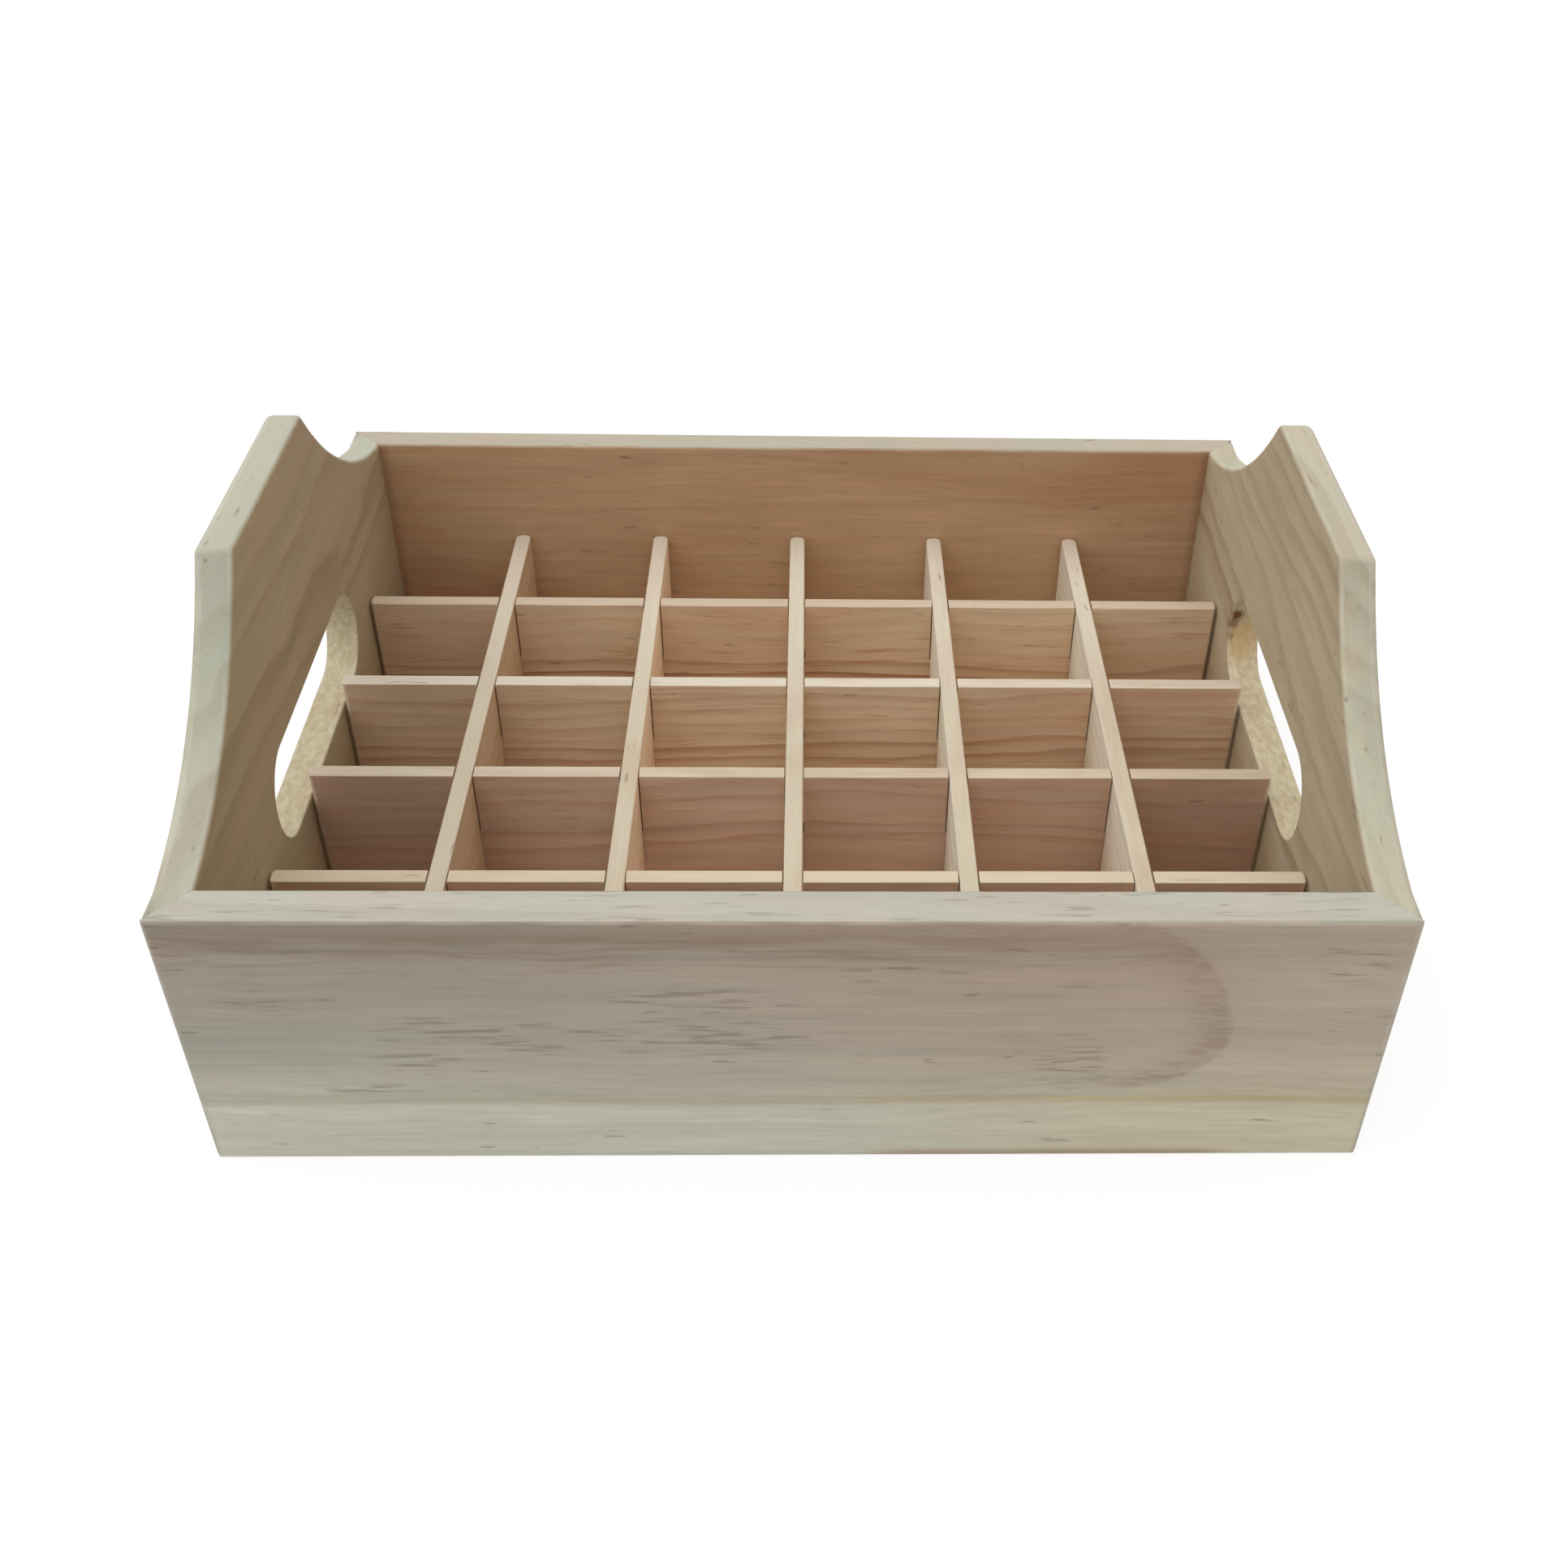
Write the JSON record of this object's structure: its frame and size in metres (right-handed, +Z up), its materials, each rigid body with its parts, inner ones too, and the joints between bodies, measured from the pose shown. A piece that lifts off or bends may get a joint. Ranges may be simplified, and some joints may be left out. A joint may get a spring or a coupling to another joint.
{
  "type": "essential oil case",
  "caption": "Open pine caddy with scooped end panels, hand slots and a lift-out grid of half-lapped dividers that makes square cells for small bottles.",
  "frame": {"origin": "on the table, under the middle of the case", "axes": "+X to the right along the front board, +Y from the front to the back, +Z up"},
  "size_m": [0.24, 0.2036, 0.102],
  "materials": {
    "wall_pine": "sanded, unfinished",
    "divider_pine": "sanded, unfinished",
    "base_ply": "sanded plywood",
    "brad_steel": "bright wire"
  },
  "bodies": {
    "case": {"front_board": "wall_pine", "back_board": "wall_pine", "left_end_panel": "wall_pine", "right_end_panel": "wall_pine", "bottom_panel": "base_ply", "brad_front_left_low": "brad_steel", "brad_front_left_high": "brad_steel", "brad_front_right_low": "brad_steel", "brad_front_right_high": "brad_steel", "brad_back_left_low": "brad_steel", "brad_back_left_high": "brad_steel", "brad_back_right_low": "brad_steel", "brad_back_right_high": "brad_steel"},
    "divider_rows": {"row_divider_1": "divider_pine", "row_divider_2": "divider_pine", "row_divider_3": "divider_pine", "row_divider_4": "divider_pine"},
    "column_1": {"column_divider_1": "divider_pine"},
    "column_2": {"column_divider_2": "divider_pine"},
    "column_3": {"column_divider_3": "divider_pine"},
    "column_4": {"column_divider_4": "divider_pine"},
    "column_5": {"column_divider_5": "divider_pine"}
  },
  "joints": [
    {"name": "divider_grid_lift", "type": "slide", "parent": "case", "child": "divider_rows", "axis": [0, 0, 1], "range_m": [0, 0.1]},
    {"name": "column_1_lift", "type": "slide", "parent": "divider_rows", "child": "column_1", "axis": [0, 0, 1], "range_m": [0, 0.07]},
    {"name": "column_2_lift", "type": "slide", "parent": "divider_rows", "child": "column_2", "axis": [0, 0, 1], "range_m": [0, 0.07]},
    {"name": "column_3_lift", "type": "slide", "parent": "divider_rows", "child": "column_3", "axis": [0, 0, 1], "range_m": [0, 0.07]},
    {"name": "column_4_lift", "type": "slide", "parent": "divider_rows", "child": "column_4", "axis": [0, 0, 1], "range_m": [0, 0.07]},
    {"name": "column_5_lift", "type": "slide", "parent": "divider_rows", "child": "column_5", "axis": [0, 0, 1], "range_m": [0, 0.07]}
  ]
}
